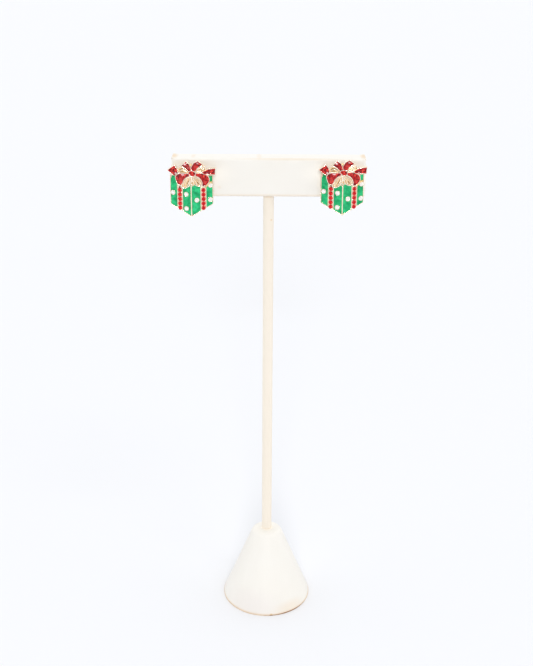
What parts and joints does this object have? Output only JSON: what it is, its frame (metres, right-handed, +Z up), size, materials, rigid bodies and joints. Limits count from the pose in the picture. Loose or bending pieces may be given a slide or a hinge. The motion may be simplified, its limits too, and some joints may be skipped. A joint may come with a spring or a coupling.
{
  "type": "gift-box stud earrings on t-bar earring stand",
  "caption": "Gift-box stud earrings with green enamel, red stones and a bow, pinned through the crossbar of a cream leatherette T-bar stand on a cone base.",
  "frame": {"origin": "centre of the cone base's flat bottom", "axes": "+Z up along the stem, +X to the right along the crossbar, -Y towards the front, where the earrings show"},
  "size_m": [0.0647, 0.0332, 0.1722],
  "materials": {
    "leatherette": "off-white grained leatherette wrap",
    "gold": "polished pale gold plate",
    "green_enamel": "glossy green enamel",
    "red_enamel": "glossy red enamel with a fine sparkle",
    "red_stone": "faceted red glass, foil-backed",
    "clear_stone": "faceted clear glass, foil-backed"
  },
  "bodies": {
    "root": {"base": "leatherette", "stem": "leatherette", "crossbar": "leatherette", "left_casting": "gold", "left_clear_stone_left_inner_high": "clear_stone", "left_clear_stone_left_inner_low": "clear_stone", "left_clear_stone_left_outer": "clear_stone", "left_clear_stone_right_inner": "clear_stone", "left_clear_stone_right_outer_high": "clear_stone", "left_clear_stone_right_outer_low": "clear_stone", "left_clutch": "gold", "left_green_left_inner": "green_enamel", "left_green_left_outer": "green_enamel", "left_green_right_inner": "green_enamel", "left_green_right_outer": "green_enamel", "left_green_right_top": "green_enamel", "left_red_knot_and_loops": "red_enamel", "left_red_left_tail": "red_enamel", "left_red_right_tail": "red_enamel", "left_red_stone_left_1": "red_stone", "left_red_stone_left_2": "red_stone", "left_red_stone_left_3": "red_stone", "left_red_stone_left_4": "red_stone", "left_red_stone_left_5": "red_stone", "left_red_stone_right_1": "red_stone", "left_red_stone_right_2": "red_stone", "left_red_stone_right_3": "red_stone", "left_red_stone_right_4": "red_stone", "left_red_stone_right_5": "red_stone", "left_red_upper_left": "red_enamel", "left_red_upper_right": "red_enamel", "right_casting": "gold", "right_clear_stone_left_inner_high": "clear_stone", "right_clear_stone_left_inner_low": "clear_stone", "right_clear_stone_left_outer": "clear_stone", "right_clear_stone_right_inner": "clear_stone", "right_clear_stone_right_outer_high": "clear_stone", "right_clear_stone_right_outer_low": "clear_stone", "right_clutch": "gold", "right_green_left_inner": "green_enamel", "right_green_left_outer": "green_enamel", "right_green_right_inner": "green_enamel", "right_green_right_outer": "green_enamel", "right_green_right_top": "green_enamel", "right_red_knot_and_loops": "red_enamel", "right_red_left_tail": "red_enamel", "right_red_right_tail": "red_enamel", "right_red_stone_left_1": "red_stone", "right_red_stone_left_2": "red_stone", "right_red_stone_left_3": "red_stone", "right_red_stone_left_4": "red_stone", "right_red_stone_left_5": "red_stone", "right_red_stone_right_1": "red_stone", "right_red_stone_right_2": "red_stone", "right_red_stone_right_3": "red_stone", "right_red_stone_right_4": "red_stone", "right_red_stone_right_5": "red_stone", "right_red_upper_left": "red_enamel", "right_red_upper_right": "red_enamel"}
  },
  "joints": []
}
